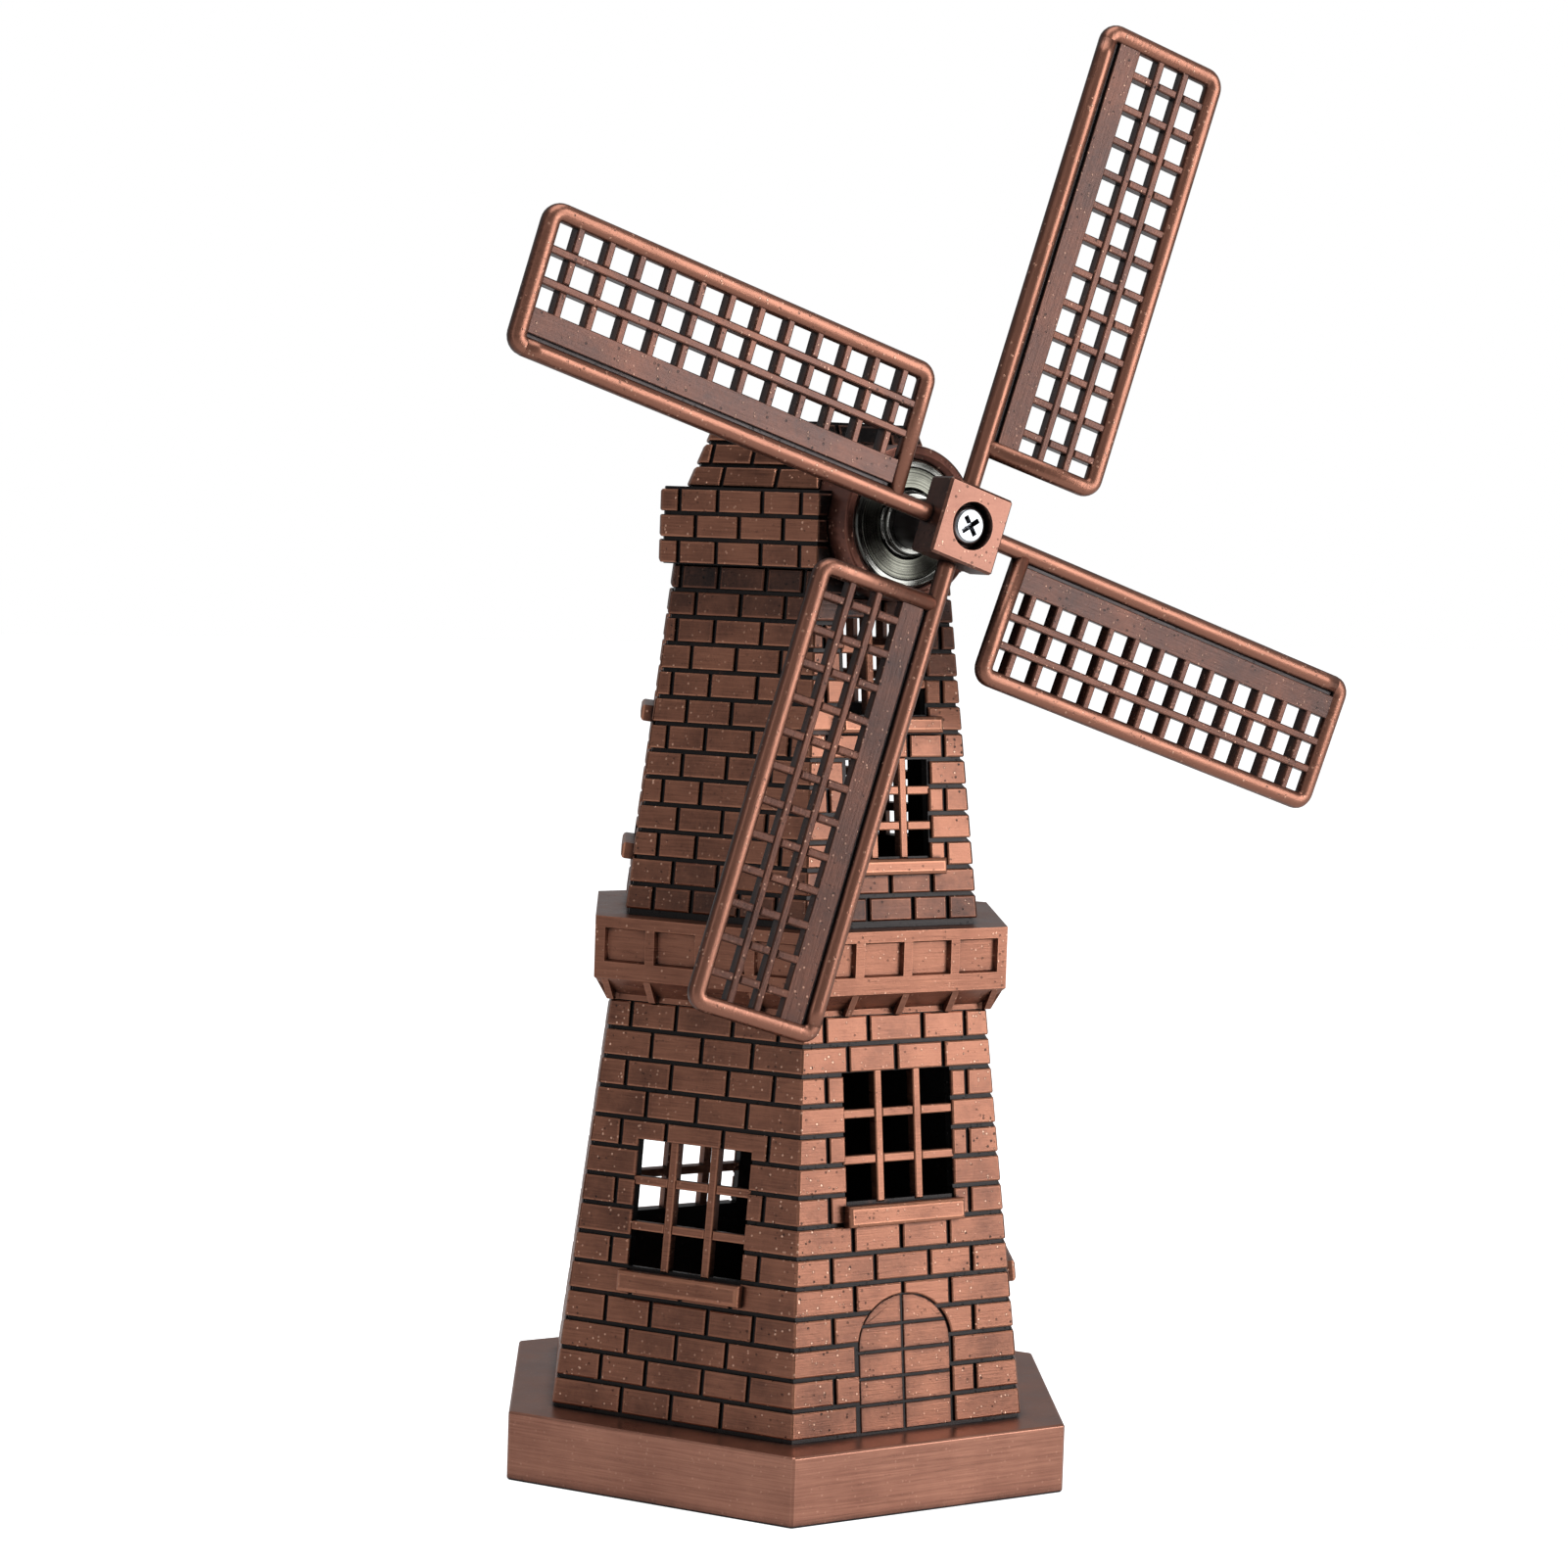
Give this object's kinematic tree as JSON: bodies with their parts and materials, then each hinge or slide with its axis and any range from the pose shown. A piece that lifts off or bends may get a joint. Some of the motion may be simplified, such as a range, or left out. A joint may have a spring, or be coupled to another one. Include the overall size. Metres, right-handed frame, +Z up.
{
  "type": "ornamental tabletop windmill",
  "caption": "Hexagonal brick windmill tower in antique copper with balcony, roof, ball-bearing rotor, square hub and lattice sails.",
  "frame": {"origin": "centre of the base slab's underside, where the windmill stands", "axes": "+Z up the tower; -Y is the side the rotor faces; +X to the right as the rotor is seen from the front"},
  "size_m": [0.1478, 0.084, 0.2161],
  "materials": {
    "brick_copper": "antique copper plating, brushed, dark in the joints",
    "moulding_copper": "antique copper plating, brushed and bright",
    "housing_copper": "antique copper plating, mostly dark patina",
    "sail_copper": "antique copper plating, rubbed bright on the rims",
    "hub_copper": "antique copper plating, brushed face, dark sides",
    "bearing_steel": "ground and polished bearing steel",
    "axle_steel": "blackened turned steel",
    "screw_zinc": "bright zinc plate"
  },
  "bodies": {
    "tower": {"base_plate": "moulding_copper", "lower_wall_front": "brick_copper", "lower_wall_front_right": "brick_copper", "lower_wall_back_right": "brick_copper", "lower_wall_back": "brick_copper", "lower_wall_back_left": "brick_copper", "lower_wall_front_left": "brick_copper", "balcony": "moulding_copper", "upper_wall_front": "brick_copper", "upper_wall_front_right": "brick_copper", "upper_wall_back_right": "brick_copper", "upper_wall_back": "brick_copper", "upper_wall_back_left": "brick_copper", "upper_wall_front_left": "brick_copper", "crown": "brick_copper", "roof_cap": "brick_copper", "bearing_housing": "housing_copper", "bearing_outer_ring": "bearing_steel", "bearing_shield_front": "bearing_steel", "bearing_shield_back": "bearing_steel"},
    "rotor": {"bearing_inner_ring": "bearing_steel", "axle": "axle_steel", "axle_clip": "axle_steel", "spacer_washer": "bearing_steel", "hub": "hub_copper", "hub_screw": "screw_zinc", "sail_upper": "sail_copper", "sail_right": "sail_copper", "sail_lower": "sail_copper", "sail_left": "sail_copper"},
    "ball_cage": {"bearing_cage": "bearing_steel", "bearing_balls": "bearing_steel"}
  },
  "joints": [
    {"name": "rotor_spin", "type": "hinge", "parent": "tower", "child": "rotor", "pos_m": [0, -0.0393, 0.1425], "axis": [0, -1, 0], "continuous": true},
    {"name": "cage_orbit", "type": "hinge", "parent": "tower", "child": "ball_cage", "pos_m": [0, -0.0239, 0.1425], "axis": [0, -1, 0], "continuous": true}
  ],
  "couplings": [
    {"joint": "cage_orbit", "follows": "rotor_spin", "ratio": 0.3611}
  ]
}
